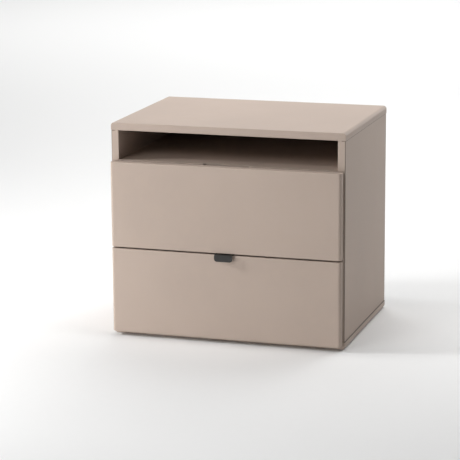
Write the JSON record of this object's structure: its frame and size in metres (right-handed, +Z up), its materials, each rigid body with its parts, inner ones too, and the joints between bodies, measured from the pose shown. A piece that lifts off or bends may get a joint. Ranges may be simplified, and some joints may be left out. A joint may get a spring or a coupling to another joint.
{
  "type": "side chest",
  "caption": "Low free-standing side chest with an open niche above full-width overlay drawers on roller slides; finger notch in the shelf for the upper drawer, dark tab handle on the lower.",
  "frame": {"origin": "on the floor, under the middle of the overall box (handle included)", "axes": "+Z up, +Y towards the back, +X to the right of someone facing the drawers"},
  "size_m": [0.475, 0.363, 0.425],
  "materials": {
    "greige_panel": "satin greige foil on board",
    "back_board": "matt brown hardboard",
    "box_board": "matt pale foil on board",
    "slide_steel": "off-white powder coat",
    "roller_nylon": "natural nylon",
    "handle_black": "matt black paint",
    "screw_steel": "zinc plated",
    "dowel_beech": "raw beech"
  },
  "bodies": {
    "cabinet": {"top_panel": "greige_panel", "bottom_panel": "greige_panel", "left_side_panel": "greige_panel", "right_side_panel": "greige_panel", "niche_shelf": "greige_panel", "back_panel": "back_board", "carcass_dowels": "dowel_beech", "cabinet_rail_screws": "screw_steel", "cabinet_roller_axles": "screw_steel", "upper_left_cabinet_rail": "slide_steel", "upper_right_cabinet_rail": "slide_steel", "lower_left_cabinet_rail": "slide_steel", "lower_right_cabinet_rail": "slide_steel"},
    "upper_drawer": {"upper_drawer_front": "greige_panel", "upper_box_left_side": "box_board", "upper_box_right_side": "box_board", "upper_box_front": "box_board", "upper_box_back": "box_board", "upper_box_bottom": "box_board", "upper_box_dowels": "dowel_beech", "upper_front_screws": "screw_steel", "upper_left_drawer_rail": "slide_steel", "upper_right_drawer_rail": "slide_steel", "upper_drawer_rail_screws": "screw_steel", "upper_drawer_roller_axles": "screw_steel"},
    "lower_drawer": {"lower_drawer_front": "greige_panel", "lower_box_left_side": "box_board", "lower_box_right_side": "box_board", "lower_box_front": "box_board", "lower_box_back": "box_board", "lower_box_bottom": "box_board", "lower_box_dowels": "dowel_beech", "lower_front_screws": "screw_steel", "lower_left_drawer_rail": "slide_steel", "lower_right_drawer_rail": "slide_steel", "lower_drawer_rail_screws": "screw_steel", "lower_drawer_roller_axles": "screw_steel", "tab_handle": "handle_black", "handle_screws": "screw_steel"},
    "upper_left_cabinet_roller": {"upper_left_cabinet_roller": "roller_nylon"},
    "upper_left_drawer_roller": {"upper_left_drawer_roller": "roller_nylon"},
    "upper_right_cabinet_roller": {"upper_right_cabinet_roller": "roller_nylon"},
    "upper_right_drawer_roller": {"upper_right_drawer_roller": "roller_nylon"},
    "lower_left_cabinet_roller": {"lower_left_cabinet_roller": "roller_nylon"},
    "lower_left_drawer_roller": {"lower_left_drawer_roller": "roller_nylon"},
    "lower_right_cabinet_roller": {"lower_right_cabinet_roller": "roller_nylon"},
    "lower_right_drawer_roller": {"lower_right_drawer_roller": "roller_nylon"}
  },
  "joints": [
    {"name": "upper_drawer_slide", "type": "slide", "parent": "cabinet", "child": "upper_drawer", "axis": [0, -1, 0], "range_m": [0, 0.23]},
    {"name": "lower_drawer_slide", "type": "slide", "parent": "cabinet", "child": "lower_drawer", "axis": [0, -1, 0], "range_m": [0, 0.23]},
    {"name": "upper_left_cabinet_roller_spin", "type": "hinge", "parent": "cabinet", "child": "upper_left_cabinet_roller", "pos_m": [-0.21605, -0.1395, 0.206], "axis": [1, 0, 0], "continuous": true},
    {"name": "upper_left_drawer_roller_spin", "type": "hinge", "parent": "upper_drawer", "child": "upper_left_drawer_roller", "pos_m": [-0.21425, 0.1325, 0.2125], "axis": [1, 0, 0], "continuous": true},
    {"name": "upper_right_cabinet_roller_spin", "type": "hinge", "parent": "cabinet", "child": "upper_right_cabinet_roller", "pos_m": [0.21605, -0.1395, 0.206], "axis": [1, 0, 0], "continuous": true},
    {"name": "upper_right_drawer_roller_spin", "type": "hinge", "parent": "upper_drawer", "child": "upper_right_drawer_roller", "pos_m": [0.21425, 0.1325, 0.2125], "axis": [1, 0, 0], "continuous": true},
    {"name": "lower_left_cabinet_roller_spin", "type": "hinge", "parent": "cabinet", "child": "lower_left_cabinet_roller", "pos_m": [-0.21605, -0.1395, 0.0335], "axis": [1, 0, 0], "continuous": true},
    {"name": "lower_left_drawer_roller_spin", "type": "hinge", "parent": "lower_drawer", "child": "lower_left_drawer_roller", "pos_m": [-0.21425, 0.1325, 0.04], "axis": [1, 0, 0], "continuous": true},
    {"name": "lower_right_cabinet_roller_spin", "type": "hinge", "parent": "cabinet", "child": "lower_right_cabinet_roller", "pos_m": [0.21605, -0.1395, 0.0335], "axis": [1, 0, 0], "continuous": true},
    {"name": "lower_right_drawer_roller_spin", "type": "hinge", "parent": "lower_drawer", "child": "lower_right_drawer_roller", "pos_m": [0.21425, 0.1325, 0.04], "axis": [1, 0, 0], "continuous": true}
  ],
  "couplings": [
    {"joint": "upper_left_cabinet_roller_spin", "follows": "upper_drawer_slide", "rad_per_m": 111.11},
    {"joint": "upper_left_drawer_roller_spin", "follows": "upper_drawer_slide", "rad_per_m": 111.11},
    {"joint": "upper_right_cabinet_roller_spin", "follows": "upper_drawer_slide", "rad_per_m": 111.11},
    {"joint": "upper_right_drawer_roller_spin", "follows": "upper_drawer_slide", "rad_per_m": 111.11},
    {"joint": "lower_left_cabinet_roller_spin", "follows": "lower_drawer_slide", "rad_per_m": 111.11},
    {"joint": "lower_left_drawer_roller_spin", "follows": "lower_drawer_slide", "rad_per_m": 111.11},
    {"joint": "lower_right_cabinet_roller_spin", "follows": "lower_drawer_slide", "rad_per_m": 111.11},
    {"joint": "lower_right_drawer_roller_spin", "follows": "lower_drawer_slide", "rad_per_m": 111.11}
  ]
}
